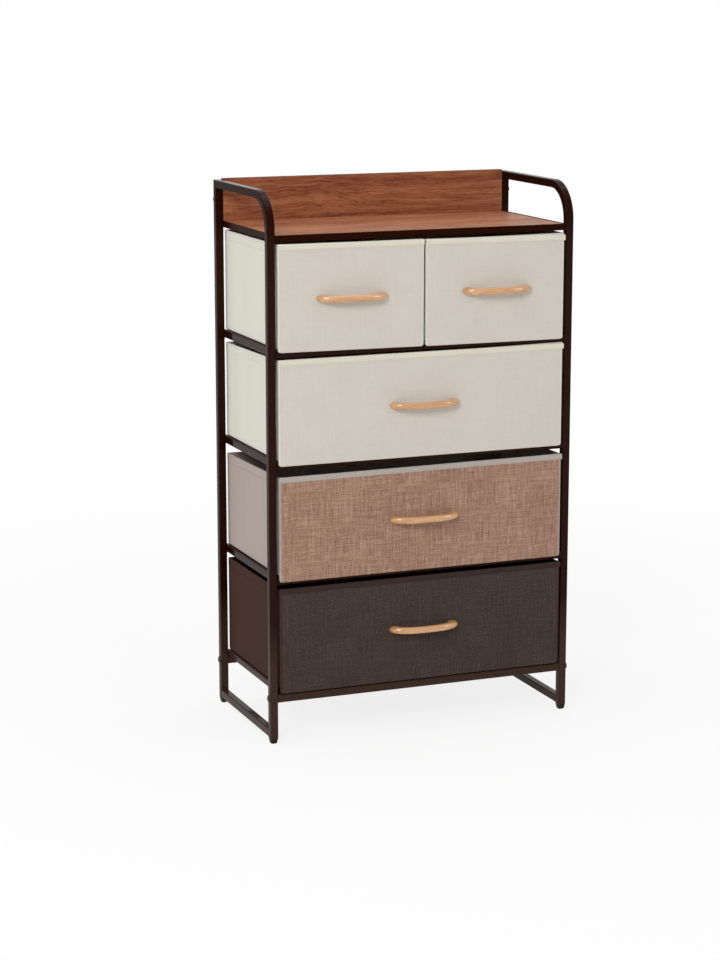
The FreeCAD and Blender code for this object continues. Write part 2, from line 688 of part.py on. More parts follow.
def handle_screws(name, middle, height):
    """Two screws from inside the bin, through its front and the panel, into the handle's feet."""
    body = new_body(name + "_screw")
    shank = new_sketch(body, "XZ_Plane", name + "ScrewShank")
    add_circle(shank, "shank", "Dims.screwShank")
    pad(body, shank, "Dims.binWall + Dims.panelThick + Dims.screwBite")
    head = new_sketch(body, "XZ_Plane", name + "ScrewHead")
    add_circle(head, "head", "Dims.screwHead")
    crown = pad(body, head, "Dims.screwHeadThick")
    crown.Reversed = True
    place(body, f"{middle} - Dims.handleSpan / 2", f"{PANEL_BACK_Y} + Dims.binWall", height)
    group(name + "_handle_screws", [body, mirror(body, name + "_screwRight", "x", middle)])


def drawers():
    for name, row, left, right in DRAWERS:
        width = f"({right} - ({left}))"
        middle = f"(({right} + {left}) / 2)"
        floor = f"({runner_top(row)} + Dims.seatGap)"
        bottom = f"({floor} - Dims.panelDrop)"
        handle_height = f"({bottom} + Dims.panelHeight / 2)"
        fabric_bin(name, width, middle, floor)
        front_panel(name, width, middle, bottom)
        rim_binding(name, width, middle, bottom)
        base_board(name, width, middle, floor)
        bow_handle(name, middle, handle_height)
        handle_screws(name, middle, handle_height)


# ---------------------------------------------------------------- build, test and export
side_frames()
cross_rails()
runners()
foot_caps()
frame_bolts()
shelf_frame()
boards()
drawers()
doc.recompute()

for item in doc.Objects:
    faults = {"Invalid", "Error"} & set(item.State)
    if faults:
        raise RuntimeError(f"{item.Name} ({item.Label}): {sorted(faults)}")
for node in nodes:
    if node.Shape.isNull() or not node.Shape.isValid() or not node.Shape.Solids:
        raise RuntimeError(f"{node.Label}: no valid solid")

os.makedirs("parts", exist_ok=True)
for node in nodes:
    node.Shape.exportStep(f"parts/{node.Label}.step")

outline = FreeCAD.BoundBox()
for node in nodes:
    outline.add(node.Shape.BoundBox)
print(f"{len(nodes)} nodes, {sum(len(node.Shape.Solids) for node in nodes)} solids")
print(f"X {outline.XMin:.1f} to {outline.XMax:.1f}, Y {outline.YMin:.1f} to {outline.YMax:.1f}, "
      f"Z {outline.ZMin:.1f} to {outline.ZMax:.1f}")
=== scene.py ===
import json
import math

import bmesh
import bpy
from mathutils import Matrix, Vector, noise


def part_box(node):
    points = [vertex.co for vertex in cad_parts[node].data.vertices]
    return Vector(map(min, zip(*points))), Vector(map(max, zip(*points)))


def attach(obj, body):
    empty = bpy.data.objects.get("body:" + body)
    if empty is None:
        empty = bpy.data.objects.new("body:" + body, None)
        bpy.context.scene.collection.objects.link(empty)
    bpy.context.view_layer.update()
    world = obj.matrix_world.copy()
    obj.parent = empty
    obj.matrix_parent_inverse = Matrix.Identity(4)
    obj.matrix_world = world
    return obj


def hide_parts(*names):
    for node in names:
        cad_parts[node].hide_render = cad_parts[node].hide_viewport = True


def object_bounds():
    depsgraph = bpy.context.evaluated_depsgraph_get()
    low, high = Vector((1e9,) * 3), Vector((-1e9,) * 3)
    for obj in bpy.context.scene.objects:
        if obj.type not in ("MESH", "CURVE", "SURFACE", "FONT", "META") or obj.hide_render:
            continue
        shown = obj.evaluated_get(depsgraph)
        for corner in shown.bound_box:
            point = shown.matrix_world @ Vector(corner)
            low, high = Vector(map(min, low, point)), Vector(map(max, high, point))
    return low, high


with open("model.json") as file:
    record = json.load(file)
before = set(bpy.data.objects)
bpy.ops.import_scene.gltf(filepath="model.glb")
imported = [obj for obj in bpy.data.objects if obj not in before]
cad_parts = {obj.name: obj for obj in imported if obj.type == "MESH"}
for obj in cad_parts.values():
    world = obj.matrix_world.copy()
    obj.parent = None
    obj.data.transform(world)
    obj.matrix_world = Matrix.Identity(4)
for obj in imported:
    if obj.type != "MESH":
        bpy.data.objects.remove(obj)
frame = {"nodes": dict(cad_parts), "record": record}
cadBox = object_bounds()
nodes = frame["nodes"]
mm = 0.001

# each drawer and the fabric family it is sewn from
drawers = {
    "upper_left": "cream",
    "upper_right": "cream",
    "second": "cream",
    "third": "taupe",
    "bottom": "espresso",
}
print("frame loaded:", len(nodes), "nodes")


# small helpers for shader trees
def tone(red, green, blue):
    # screen values from 0 to 255 as a linear colour
    def linear(value):
        value /= 255
        return value / 12.92 if value <= 0.04045 else ((value + 0.055) / 1.055) ** 2.4

    return (linear(red), linear(green), linear(blue), 1.0)


def feed(tree, node, inputs):
    # an input is another node's socket, or a value to set
    for key, value in inputs.items():
        if isinstance(value, bpy.types.NodeSocket):
            tree.links.new(value, node.inputs[key])
        else:
            node.inputs[key].default_value = value


def put(tree, kind, inputs=None, **settings):
    node = tree.nodes.new(kind)
    for key, value in settings.items():
        setattr(node, key, value)
    feed(tree, node, inputs or {})
    return node


def calc(tree, operation, *values):
    return put(tree, "ShaderNodeMath", dict(enumerate(values)), operation=operation).outputs[0]


def times(tree, *values):
    return calc(tree, "MULTIPLY", *values)


def addShare(tree, total, value, share):
    return calc(tree, "ADD", total, times(tree, value, share))


def keepInUnit(tree, value):
    return calc(tree, "MINIMUM", calc(tree, "MAXIMUM", value, 0.0), 1.0)


def remap(tree, value, fromLow, fromHigh, toLow=0.0, toHigh=1.0):
    sockets = {0: value, 1: fromLow, 2: fromHigh, 3: toLow, 4: toHigh}
    return put(tree, "ShaderNodeMapRange", sockets, clamp=True).outputs[0]


def mixColour(tree, factor, first, second):
    # sockets 6 and 7 are the colour inputs of a Mix node, and 2 is its colour output
    return put(tree, "ShaderNodeMix", {0: factor, 6: first, 7: second}, data_type="RGBA").outputs[2]


def threeTones(tree, value, colours, spread):
    # the deep colour a spread below one half, the main one at one half, the bright one above
    deep, main, bright = (tone(*colour) for colour in colours)
    lower = mixColour(tree, remap(tree, value, 0.5 - spread, 0.5), deep, main)
    return mixColour(tree, remap(tree, value, 0.5, 0.5 + spread), lower, bright)


def objectAxes(tree):
    coordinates = put(tree, "ShaderNodeTexCoord").outputs["Object"]
    return put(tree, "ShaderNodeSeparateXYZ", {0: coordinates}).outputs


def clothAxes(tree):
    # along the cloth of any upright wall, and up it
    axes = objectAxes(tree)
    return calc(tree, "ADD", axes[0], axes[1]), axes[2]


def upwardNormal(tree):
    normal = put(tree, "ShaderNodeNewGeometry").outputs["Normal"]
    return put(tree, "ShaderNodeSeparateXYZ", {0: normal}).outputs[2]


def flatNoise(tree, across, along, acrossScale, alongScale, detail=2.0, roughness=0.5):
    # two-dimensional noise with its own scale each way, for streaks
    vector = put(tree, "ShaderNodeCombineXYZ", {
        0: times(tree, across, acrossScale),
        1: times(tree, along, alongScale),
    }).outputs[0]
    sockets = {"Vector": vector, "Scale": 1.0, "Detail": detail, "Roughness": roughness}
    return put(tree, "ShaderNodeTexNoise", sockets, noise_dimensions="2D").outputs["Fac"]


def drift(tree, *noiseValues):
    # flat noise that goes as far below zero as above it
    return calc(tree, "SUBTRACT", flatNoise(tree, *noiseValues), 0.5)


def solidNoise(tree, coordinates, scale, detail):
    sockets = {"Vector": coordinates, "Scale": scale, "Detail": detail}
    return put(tree, "ShaderNodeTexNoise", sockets).outputs["Fac"]


streakDetail = 1.0  # low, so that streaks stay soft


def crossedWaves(tree, across, upward, perMetre):
    waves = []
    for axis in (across, upward):
        angle = times(tree, times(tree, axis, perMetre), 2 * math.pi)
        waves.append(calc(tree, "SINE", angle))
    return times(tree, *waves)


def newGroup(name, inputs, outputs):
    group = bpy.data.node_groups.new(name, "ShaderNodeTree")
    for label, value in inputs.items():
        socket = group.interface.new_socket(label, in_out="INPUT", socket_type="NodeSocketFloat")
        socket.default_value = value
    for label in outputs:
        group.interface.new_socket(label, in_out="OUTPUT", socket_type="NodeSocketFloat")
    return group, group.nodes.new("NodeGroupInput").outputs, group.nodes.new("NodeGroupOutput")


def useGroup(tree, group, **inputs):
    node = put(tree, "ShaderNodeGroup", node_tree=group)
    feed(tree, node, inputs)
    return node.outputs


# linen: crossed threads, each uneven along its length, with long slubs both ways and small flecks
# noise is given by its scale across and along, per metre, then its detail and roughness
linenWeaveLook = {
    "slubs": ((430.0, 15.0, 0.55), (1100.0, 60.0, 0.60)),  # scale across, scale along, weight
    "uprightShare": 1.2, "levelShare": 0.85,
    "threadShade": 0.05,
    "fleck": (520.0, 380.0, 2.0, 0.6),
    "blotch": (16.0, 16.0), "blotchShade": 0.18,
    "threadRelief": 0.3,
}


def makeLinenGroup():
    s = linenWeaveLook
    group, given, end = newGroup("linenWeave", {"Threads": 620.0, "Slubs": 1.0, "Flecks": 0.5},
                                 ["Shade", "Height"])
    across, upward = clothAxes(group)
    shade = 0.5
    directions = ((across, upward, s["uprightShare"]), (upward, across, s["levelShare"]))
    for first, second, share in directions:
        for wide, long, weight in s["slubs"]:
            strength = times(group, given["Slubs"], weight * share)
            slub = drift(group, first, second, wide, long, streakDetail)
            shade = addShare(group, shade, slub, strength)
    crossing = crossedWaves(group, across, upward, given["Threads"])
    shade = addShare(group, shade, crossing, s["threadShade"])
    shade = addShare(group, shade, drift(group, across, upward, *s["fleck"]), given["Flecks"])
    shade = addShare(group, shade, drift(group, across, upward, *s["blotch"]), s["blotchShade"])
    height = addShare(group, shade, crossing, s["threadRelief"])
    feed(group, end, {"Shade": keepInUnit(group, shade), "Height": height})
    return group


# pressed non-woven cloth: matted fibres, a grid of tiny bonded dots, slack upright creases whose light
# and shade is painted into the colour
feltLook = {
    "fibre": (1500.0, 900.0, 3.0, 0.6),
    "crease": (26.0, 3.0),
    "dotSharpness": 3.0,
    # the crease share paints the folds' shade and light into the colour
    "shade": {"fibre": 0.5, "crease": 0.45, "dot": -0.14},
    "relief": {"fibre": 0.8, "crease": 0.3, "dot": -0.7},
}


def makeFeltGroup():
    s = feltLook
    group, given, end = newGroup("pressedFelt", {"Dots": 700.0, "Creases": 1.0}, ["Shade", "Height"])
    across, upward = clothAxes(group)
    fibre = drift(group, across, upward, *s["fibre"])
    crease = times(group, drift(group, across, upward, *s["crease"]), given["Creases"])
    dot = calc(group, "ABSOLUTE", crossedWaves(group, across, upward, given["Dots"]))
    dot = calc(group, "POWER", dot, s["dotSharpness"])
    shade, height = 0.5, 0.0
    for label, value in {"fibre": fibre, "crease": crease, "dot": dot}.items():
        shade = addShare(group, shade, value, s["shade"][label])
        height = addShare(group, height, value, s["relief"][label])
    feed(group, end, {"Shade": keepInUnit(group, shade), "Height": height})
    return group


# timber with its grain along X: bands and fine streaks, short dark dashes, a curl round a knot
timberLook = {
    "bend": (3.0, 5.0, 0.0), "bendReach": 0.020,
    "knotScale": (9.0, 30.0),  # along X and up, the larger the smaller the knot
    "swing": (36.0, 40.0, 0.0), "swingReach": 0.011,
    "streaks": ((30.0, 1.2, 0.40), (110.0, 3.5, 0.50), (330.0, 12.0, 0.60), (800.0, 30.0, 0.50)),
    "dashesInDark": 0.35, "dashesByKnot": 0.09,
    "dashEdge": (0.60, 0.74),
    "streakRelief": 0.3,
}


def makeGrainGroup():
    s = timberLook
    group, given, end = newGroup("timberGrain", {
        "Stretch": 1.0, "Widen": 1.0, "Curl": 0.0, "CurlX": -0.06, "CurlHeight": 0.975,
        "DashLength": 70.0, "DashWidth": 430.0,
    }, ["Tone", "Dashes", "Height"])
    axes = objectAxes(group)
    along = calc(group, "DIVIDE", axes[0], given["Stretch"])
    across = calc(group, "DIVIDE", calc(group, "ADD", axes[1], axes[2]), given["Widen"])
    bent = addShare(group, across, drift(group, along, across, *s["bend"]), s["bendReach"])
    # near the knot the grain swings to and fro over a short distance
    squares = []
    for axis, middle, scale in zip((axes[0], axes[2]), ("CurlX", "CurlHeight"), s["knotScale"]):
        far = times(group, calc(group, "SUBTRACT", axis, given[middle]), scale)
        squares.append(calc(group, "POWER", far, 2.0))
    near = calc(group, "EXPONENT", times(group, calc(group, "ADD", *squares), -1.0))
    near = times(group, near, given["Curl"])
    swing = drift(group, along, across, *s["swing"])
    bent = addShare(group, bent, swing, times(group, near, s["swingReach"]))
    tones = 0.5
    for acrossScale, alongScale, weight in s["streaks"]:
        streak = drift(group, bent, along, acrossScale, alongScale, streakDetail)
        tones = addShare(group, tones, streak, weight)
    dashNoise = flatNoise(group, along, bent, given["DashLength"], given["DashWidth"], streakDetail)
    # dashes crowd together in the darker bands and round the knot
    crowd = times(group, calc(group, "SUBTRACT", 0.5, tones), s["dashesInDark"])
    crowd = addShare(group, crowd, near, s["dashesByKnot"])
    dashes = remap(group, calc(group, "ADD", dashNoise, crowd), *s["dashEdge"])
    height = calc(group, "SUBTRACT", times(group, tones, s["streakRelief"]), dashes)
    feed(group, end, {"Tone": keepInUnit(group, tones), "Dashes": dashes, "Height": height})
    return group


# coated or moulded surfaces: fine orange peel, cloudy gloss, a little dust on top, a painted
# reflection of the floor that lightens the colour near it, and less shine on the upright faces near the
# top
# a mask starts at the first value and is full at the second, a height in metres, how far a face
# looks up or a noise value; two more values are its weakest and its strongest
coatLook = {
    "peelDetail": 2.0,
    "cloud": (38.0, 3.0),
    "speck": (260.0, 4.0),
    "dustFace": (0.6, 1.0), "dustSpeck": (0.45, 0.75),
    "floorReflectionHeight": (0.23, 0.14), "floorReflectionMottle": (0.1, 0.4, 0.8, 1.0),
    "dullHeight": (0.90, 0.96), "dullFace": (0.7, 0.2), "dullShare": 0.92,
}


def makeCoatGroup():
    s = coatLook
    group, given, end = newGroup("coatTexture", {"Peel": 700.0, "Cloud": 0.12},
                                 ["Cloudy", "Dust", "PaintedFloorReflection", "Gloss", "Height"])
    coordinates = put(group, "ShaderNodeTexCoord").outputs["Object"]
    height = put(group, "ShaderNodeSeparateXYZ", {0: coordinates}).outputs[2]
    facing = upwardNormal(group)
    peel = solidNoise(group, coordinates, given["Peel"], s["peelDetail"])
    cloud = solidNoise(group, coordinates, *s["cloud"])
    speck = solidNoise(group, coordinates, *s["speck"])
    cloudy = times(group, calc(group, "SUBTRACT", cloud, 0.5), given["Cloud"])

    def overlap(*masks):
        return times(group, *[remap(group, value, *s[label]) for value, label in masks])

    dust = overlap((facing, "dustFace"), (speck, "dustSpeck"))
    # painted floor reflection: the colour lightens towards the floor, mottled
    floorReflection = overlap((height, "floorReflectionHeight"), (cloud, "floorReflectionMottle"))
    dull = overlap((height, "dullHeight"), (facing, "dullFace"))
    gloss = calc(group, "SUBTRACT", 1.0, times(group, dull, s["dullShare"]))
    feed(group, end, {"Cloudy": cloudy, "Dust": dust, "PaintedFloorReflection": floorReflection, "Gloss": gloss, "Height": peel})
    return group


linenWeave = makeLinenGroup()
pressedFelt = makeFeltGroup()
timberGrain = makeGrainGroup()
coatTexture = makeCoatGroup()
print("shader groups built")


def newObject(name, data):
    made = bpy.data.objects.new(name, data)
    bpy.context.scene.collection.objects.link(made)
    return made


def newMaterial(name):
    material = bpy.data.materials.new(name)
    material.use_nodes = True
    tree = material.node_tree
    shader = tree.nodes["Principled BSDF"]
    return material, tree, shader


def addBump(tree, shader, height, strength, distance):
    bump = put(tree, "ShaderNodeBump", {"Height": height, "Strength": strength, "Distance": distance})
    feed(tree, shader, {"Normal": bump.outputs["Normal"]})


# colours of each fabric: deep thread, main thread and bright thread
fabricColours = {
    "cream_linen": ((200, 192, 182), (209, 202, 192), (216, 210, 201)),
    "cream_plain": ((205, 202, 189), (216, 213, 201), (223, 220, 209)),
    "cream_binding": ((209, 203, 187), (220, 214, 198), (227, 222, 207)),
    "taupe_linen": ((130, 97, 80), (158, 123, 104), (186, 153, 133)),
    "taupe_plain": ((158, 145, 137), (172, 159, 151), (181, 169, 161)),
    "taupe_binding": ((162, 153, 146), (175, 167, 160), (186, 179, 171)),
    "espresso_linen": ((54, 45, 41), (69, 58, 53), (86, 74, 68)),
    "espresso_plain": ((60, 41, 35), (70, 50, 43), (78, 58, 51)),
    "espresso_binding": ((51, 39, 35), (60, 47, 42), (69, 55, 50)),
}

# how strongly each linen shows its slubs and flecks, its bump, and how much any gloss lifts it
fabricFinish = {
    "cream": {"slubs": 0.3, "flecks": 0.15, "bump": 0.2, "level": 0.15, "sheen": 0.05},
    "taupe": {"slubs": 0.8, "flecks": 0.35, "bump": 0.35, "level": 0.15, "sheen": 0.05},
    "espresso": {"slubs": 0.45, "flecks": 0.8, "bump": 0.35, "level": 0.05, "sheen": 0.0},
}

# what all the fabrics share; threads and dots are counted per metre
fabricCloth = {
    # creases scales the painted crease shade and the crease bump
    "threads": 620.0, "dots": 700.0, "creases": 0.4,
    "plainBump": 0.2,
    "bumpDepth": 0.5 * mm,
    "toneSpread": 0.28,
    "roughness": 0.92, "sheenRoughness": 0.5,
}


def fabricMaterial(name):
    s = fabricCloth
    material, tree, shader = newMaterial(name)
    finish = fabricFinish[name.split("_")[0]]
    if name.endswith("linen"):
        texture = useGroup(tree, linenWeave, Threads=s["threads"], Slubs=finish["slubs"],
                           Flecks=finish["flecks"])
        bumpStrength = finish["bump"]
    else:
        texture = useGroup(tree, pressedFelt, Dots=s["dots"], Creases=s["creases"])
        bumpStrength = s["plainBump"]
    colour = threeTones(tree, texture["Shade"], fabricColours[name], s["toneSpread"])
    addBump(tree, shader, texture["Height"], bumpStrength, s["bumpDepth"])
    feed(tree, shader, {"Base Color": colour, "Roughness": s["roughness"],
                        "Specular IOR Level": finish["level"], "Sheen Weight": finish["sheen"],
                        "Sheen Roughness": s["sheenRoughness"]})
    return material


# each timber: deep, main and bright colour, the colour of its dashes, its surface and its grain
timbers = {
    "walnut": {
        "material": "walnut_shelf", "colours": ((124, 70, 44), (158, 101, 72), (186, 128, 96)),
        "dashes": (108, 60, 38), "roughness": 0.42, "relief": 0.2 * mm, "level": 0.10,
        "grain": {"Stretch": 1.6, "Widen": 2.6},
    },
    # the same foil, with painted shade making it a little darker where it stands, and an espresso band
    # glued on its top edge
    "shadedBackboard": {
        "material": "walnut_backboard_painted_shade", "colours": ((116, 62, 36), (149, 88, 58), (174, 113, 79)),
        "dashes": (92, 46, 27), "roughness": 0.46, "relief": 0.2 * mm, "level": 0.14,
        "grain": {"Stretch": 1.0, "Curl": 1.0}, "topBand": (58, 42, 36),
    },
    # pale wood under thick clear lacquer
    "maple": {
        "material": "maple_handle", "colours": ((188, 130, 80), (203, 150, 98), (218, 171, 121)),
        "dashes": (186, 130, 84), "roughness": 0.28, "relief": 0.03 * mm, "level": 0.2,
        "lacquer": 1.0, "grain": {"Stretch": 0.6, "DashLength": 110.0, "DashWidth": 2600.0},
    },
    "stiffener_board": {
        "material": "stiffener_board", "colours": ((122, 102, 80), (146, 124, 99), (166, 144, 118)),
        "dashes": (108, 88, 68), "roughness": 0.78, "relief": 0.3 * mm, "level": 0.2,
        "grain": {"Stretch": 0.06, "DashLength": 60.0, "DashWidth": 900.0},
    },
}

# what all the timbers share; the band's pair is by how far a face looks up
timberFinish = {
    "toneSpread": 0.32,
    "dashShare": 0.5, "dashRoughness": 0.15,
    "bump": 0.25,
    "lacquerRoughness": 0.09, "lacquerIor": 1.7,
    "bandFace": (0.6, 0.8),
}


def timberMaterial(timber):
    s = timberFinish
    material, tree, shader = newMaterial(timber["material"])
    texture = useGroup(tree, timberGrain, **timber["grain"])
    colour = threeTones(tree, texture["Tone"], timber["colours"], s["toneSpread"])
    dashes = times(tree, texture["Dashes"], s["dashShare"])
    colour = mixColour(tree, dashes, colour, tone(*timber["dashes"]))
    if "topBand" in timber:
        banded = remap(tree, upwardNormal(tree), *s["bandFace"])
        colour = mixColour(tree, banded, colour, tone(*timber["topBand"]))
    roughness = addShare(tree, timber["roughness"], texture["Dashes"], s["dashRoughness"])
    addBump(tree, shader, texture["Height"], s["bump"], timber["relief"])
    feed(tree, shader, {"Base Color": colour, "Roughness": roughness,
                        "Specular IOR Level": timber["level"]})
    if "lacquer" in timber:
        feed(tree, shader, {"Coat Weight": timber["lacquer"], "Coat Roughness": s["lacquerRoughness"],
                            "Coat IOR": s["lacquerIor"]})
    return material


# paint, plastic and plated metal; the shelf's angle is duller than the tube
plain = {"tint": (1.0, 0.9, 0.8, 1.0), "metallic": 0.0, "coat": 0.0, "floorReflection": 0.0}
# the dust colour is also the colour of the painted floor reflection
paint = {"colour": (36, 12, 4), "dust": (110, 90, 76), "tint": (1.0, 0.74, 0.60, 1.0), "metallic": 0.0,
         "level": 0.01, "peel": 900.0}
coatings = {
    "espresso_steel": {**paint, "roughness": 0.20, "coat": 0.3, "floorReflection": 0.2, "bump": 0.15},
    "shelf_steel": {**paint, "roughness": 0.32, "coat": 0.06, "floorReflection": 0.0, "bump": 0.2},
    "black_plastic": {**plain, "colour": (28, 20, 16), "dust": (110, 100, 92), "roughness": 0.5,
                      "level": 0.2, "peel": 1500.0, "bump": 0.5},
    "dark_bolt": {**plain, "colour": (30, 20, 16), "dust": (110, 98, 88), "roughness": 0.28,
                  "level": 0.35, "peel": 1200.0, "bump": 0.2},
    "zinc_screw": {**plain, "colour": (158, 158, 152), "dust": (150, 146, 138), "roughness": 0.32,
                   "level": 0.5, "peel": 1600.0, "bump": 0.3, "tint": (1.0, 1.0, 1.0, 1.0),
                   "metallic": 0.9},
}

# what all the coatings share
coatingFinish = {"cloud": 0.12, "dustShare": 0.08, "bumpDepth": 0.12 * mm,
                 "coatRoughness": 0.07, "coatIor": 1.3}


def coatMaterial(name, surface):
    s = coatingFinish
    material, tree, shader = newMaterial(name)
    texture = useGroup(tree, coatTexture, Peel=surface["peel"], Cloud=s["cloud"])
    colour = tone(*surface["colour"])
    # the dust share is real dust on top; the floor share paints a reflection of the floor in the dust
    # colour
    for mask, share in (("PaintedFloorReflection", surface["floorReflection"]), ("Dust", s["dustShare"])):
        share = times(tree, texture[mask], share)
        colour = mixColour(tree, share, colour, tone(*surface["dust"]))
    addBump(tree, shader, texture["Height"], surface["bump"], s["bumpDepth"])
    feed(tree, shader, {
        "Base Color": colour, "Metallic": surface["metallic"],
        "Roughness": calc(tree, "ADD", surface["roughness"], texture["Cloudy"]),
        "Specular IOR Level": surface["level"], "Specular Tint": surface["tint"],
        "Coat Weight": times(tree, texture["Gloss"], surface["coat"]),
        "Coat Roughness": s["coatRoughness"], "Coat IOR": s["coatIor"],
    })
    return material


materials = {name: fabricMaterial(name) for name in fabricColours}
materials.update({name: timberMaterial(timber) for name, timber in timbers.items()})
materials.update({name: coatMaterial(name, surface) for name, surface in coatings.items()})
print("materials built:", len(materials))


# carried-over nodes get the material of their slot in the record, or a finish of their own
slotOf = {part["node"]: part["material_slot"] for part in frame["record"]["subparts"]}
ownFinish = {"back_board": "shadedBackboard", "shelf_frame": "shelf_steel"}
for name, node in nodes.items():
    node.data.materials.clear()
    node.data.materials.append(materials[ownFinish.get(name, slotOf[name])])
print("finishes given to the carried-over nodes")


# small helpers for meshes; a shape is a list of vertices and a list of faces, and sharp in a piece's
# settings is the angle above which its edges stay crisp
def addPiece(name, body, slotName, shape, settings):
    vertices, faces = shape
    mesh = bpy.data.meshes.new(name)
    mesh.from_pydata([tuple(vertex) for vertex in vertices], [], faces)
    work = bmesh.new()
    work.from_mesh(mesh)
    bmesh.ops.recalc_face_normals(work, faces=work.faces)
    work.to_mesh(mesh)
    work.free()
    mesh.shade_smooth()
    mesh.set_sharp_from_angle(angle=math.radians(settings["sharp"]))
    mesh.materials.append(materials[slotName])
    piece = newObject(name, mesh)
    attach(piece, body)
    return piece


def ringFaces(ring, following):
    # faces between two rings of as many vertices
    return list(zip(ring, ring[1:] + ring[:1], following[1:] + following[:1], following))


def tubeFaces(levels, count):
    # faces between rings of that many vertices, and a cap on the first ring and the last
    rings = [list(range(level * count, (level + 1) * count)) for level in range(levels)]
    faces = []
    for ring, following in zip(rings, rings[1:]):
        faces += ringFaces(ring, following)
    return faces + [tuple(rings[0]), tuple(reversed(rings[-1]))]


def sweep(stations, profile):
    # stations are (origin, first axis, second axis), and profile is a closed outline in those axes
    vertices = [origin + first * a + second * b
                for origin, first, second in stations for a, b in profile]
    return vertices, tubeFaces(len(stations), len(profile))


def joinShapes(shapes):
    vertices, faces = [], []
    for moreVertices, moreFaces in shapes:
        start = len(vertices)
        vertices += moreVertices
        faces += [tuple(start + index for index in face) for face in moreFaces]
    return vertices, faces


def spaced(start, end, count):
    # from the start to the end in that many equal steps
    return [start + (end - start) * index / count for index in range(count + 1)]


def gridLines(length, step, nearEnd):
    # positions along a side, close together near both ends
    *near, last = nearEnd
    count = max(2, round((length - 2 * last) / step))
    return near + spaced(last, length - last, count) + [length - place for place in reversed(near)]


def turns(count):
    return spaced(0.0, 2 * math.pi, count)[:-1]


def quarterRound(radius, steps):
    # how far each point of a quarter circle lies inside the two sides that it joins
    return [(radius * (1 - math.sin(angle)), radius * (1 - math.cos(angle)))
            for angle in spaced(0.0, math.pi / 2, steps)]


def unit(value):
    return min(1.0, max(0.0, value))


def smooth(value):
    value = unit(value)
    return value * value * (3 - 2 * value)


def blend(first, second, share):
    return first * (1 - share) + second * share


def ripple(seed, first, second, waves):
    # each wave has a seed of its own, its scale per metre both ways and its weight;
    # seeds stand 7.3 apart along the noise's middle axis
    total = 0.0
    for ownSeed, firstScale, secondScale, weight in waves:
        place = Vector((first * firstScale, (seed + ownSeed) * 7.3, second * secondScale))
        total += weight * noise.noise(place)
    return total


def roundedPoint(x, z, width, height, lowRadius, highRadius):
    # moves a grid point in a corner's square onto the corner's disc
    right, upper = x > width / 2, z > height / 2
    radius = highRadius if upper else lowRadius
    if radius <= 0:
        return x, z
    a = (radius - (width - x if right else x)) / radius
    b = (radius - (height - z if upper else z)) / radius
    if a <= 0 or b <= 0:
        return x, z
    a, b = a * math.sqrt(1 - b * b / 2), b * math.sqrt(1 - a * a / 2)
    x = width - radius * (1 - a) if right else radius * (1 - a)
    z = height - radius * (1 - b) if upper else radius * (1 - b)
    return x, z


# linen face of a drawer: a stiff board in a cover that rounds off at its edges
linenFace = {
    "sideInset": 0.5 * mm, "sharp": 50.0,
    "edgeRadius": 1.9 * mm, "edgeSteps": 4,
    "lowerCorner": 6.0 * mm, "upperCorner": 1.5 * mm,
    "backRound": 0.6 * mm, "backGap": 0.1 * mm,
    "step": 8.0 * mm,
    "nearEnd": [place * mm for place in (0.0, 1.2, 2.6, 3.8, 4.8, 5.8, 7.2, 9.5, 14.0, 20.0)],
    "crown": 0.7 * mm, "crownRun": 32.0 * mm,
    "slack": 0.45 * mm, "slackRun": 14.0 * mm,
    "slackWaves": ((0, 9.0, 11.0, 0.7), (3, 24.0, 19.0, 0.4)),
    "tapeCover": 10.0 * mm,
    "channelInset": 4.8 * mm, "channelWidth": 0.9 * mm,
    "channelDepth": 0.35 * mm, "channelFade": 3.0 * mm,
    "screwHalf": 64.0 * mm,  # from the middle of the face to either screw of the handle
    "dimpleDepth": 0.5 * mm, "dimpleRun": 15.0 * mm,
}


def faceHeight(seed, x, z, low, high):
    # how far the cover stands out in front of the board at a point
    s = linenFace
    reach = min(x - low.x, high.x - x, z - low.z)
    belowTape = high.z - s["tapeCover"] - z
    inward = min(reach, belowTape)
    slack = s["slack"] * ripple(seed, x, z, s["slackWaves"])
    out = s["crown"] * smooth(inward / s["crownRun"]) + slack * smooth(inward / s["slackRun"])
    channel = s["channelDepth"] * math.exp(-((reach - s["channelInset"]) / s["channelWidth"]) ** 2)
    out -= channel * smooth(belowTape / s["channelFade"])
    centre = (low.x + high.x) / 2
    middle = (low.z + high.z) / 2
    for side in (-1, 1):
        away = math.hypot(x - centre - side * s["screwHalf"], z - middle)
        out -= s["dimpleDepth"] * math.exp(-(away / s["dimpleRun"]) ** 2)
    return out


# how far the face's lower edge and its top edge stand above their places, at the left end and the right,
# and how far the cover stops short of the board's right end, all in millimetres
hang = {
    "upper_left": {"lower": (4.0, 1.2), "top": (2.6, 1.2), "tuck": 0.0},
    "upper_right": {"lower": (1.0, -0.6), "top": (1.2, -1.4), "tuck": 3.6},
    "second": {"lower": (0.3, 0.0), "top": (-1.2, -1.0), "tuck": 3.6},
    "third": {"lower": (-1.2, -0.6), "top": (-1.8, 1.7), "tuck": 3.0},
    "bottom": {"lower": (-2.0, -1.8), "top": (0.2, 1.9), "tuck": 2.4},
}


def tuckedBox(name, node, share):
    # the tape stops short as well, by a share of what the cover does
    low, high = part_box(name + node)
    return low, Vector((high.x - share * hang[name]["tuck"] * mm, high.y, high.z))


panelBoxes = {name: tuckedBox(name, "_front_panel", 1.0) for name in drawers}
tapeBoxes = {name: tuckedBox(name, "_rim_binding", 0.5) for name in drawers}


def lift(name, x, z):
    # how far the cover and its tape stand above their places at a point
    low, high = panelBoxes[name]
    across = (x - low.x) / (high.x - low.x)
    upward = unit((z - low.z) / (high.z - low.z))
    lower, top = blend(*hang[name]["lower"], across), blend(*hang[name]["top"], across)
    return blend(lower, top, upward) * mm


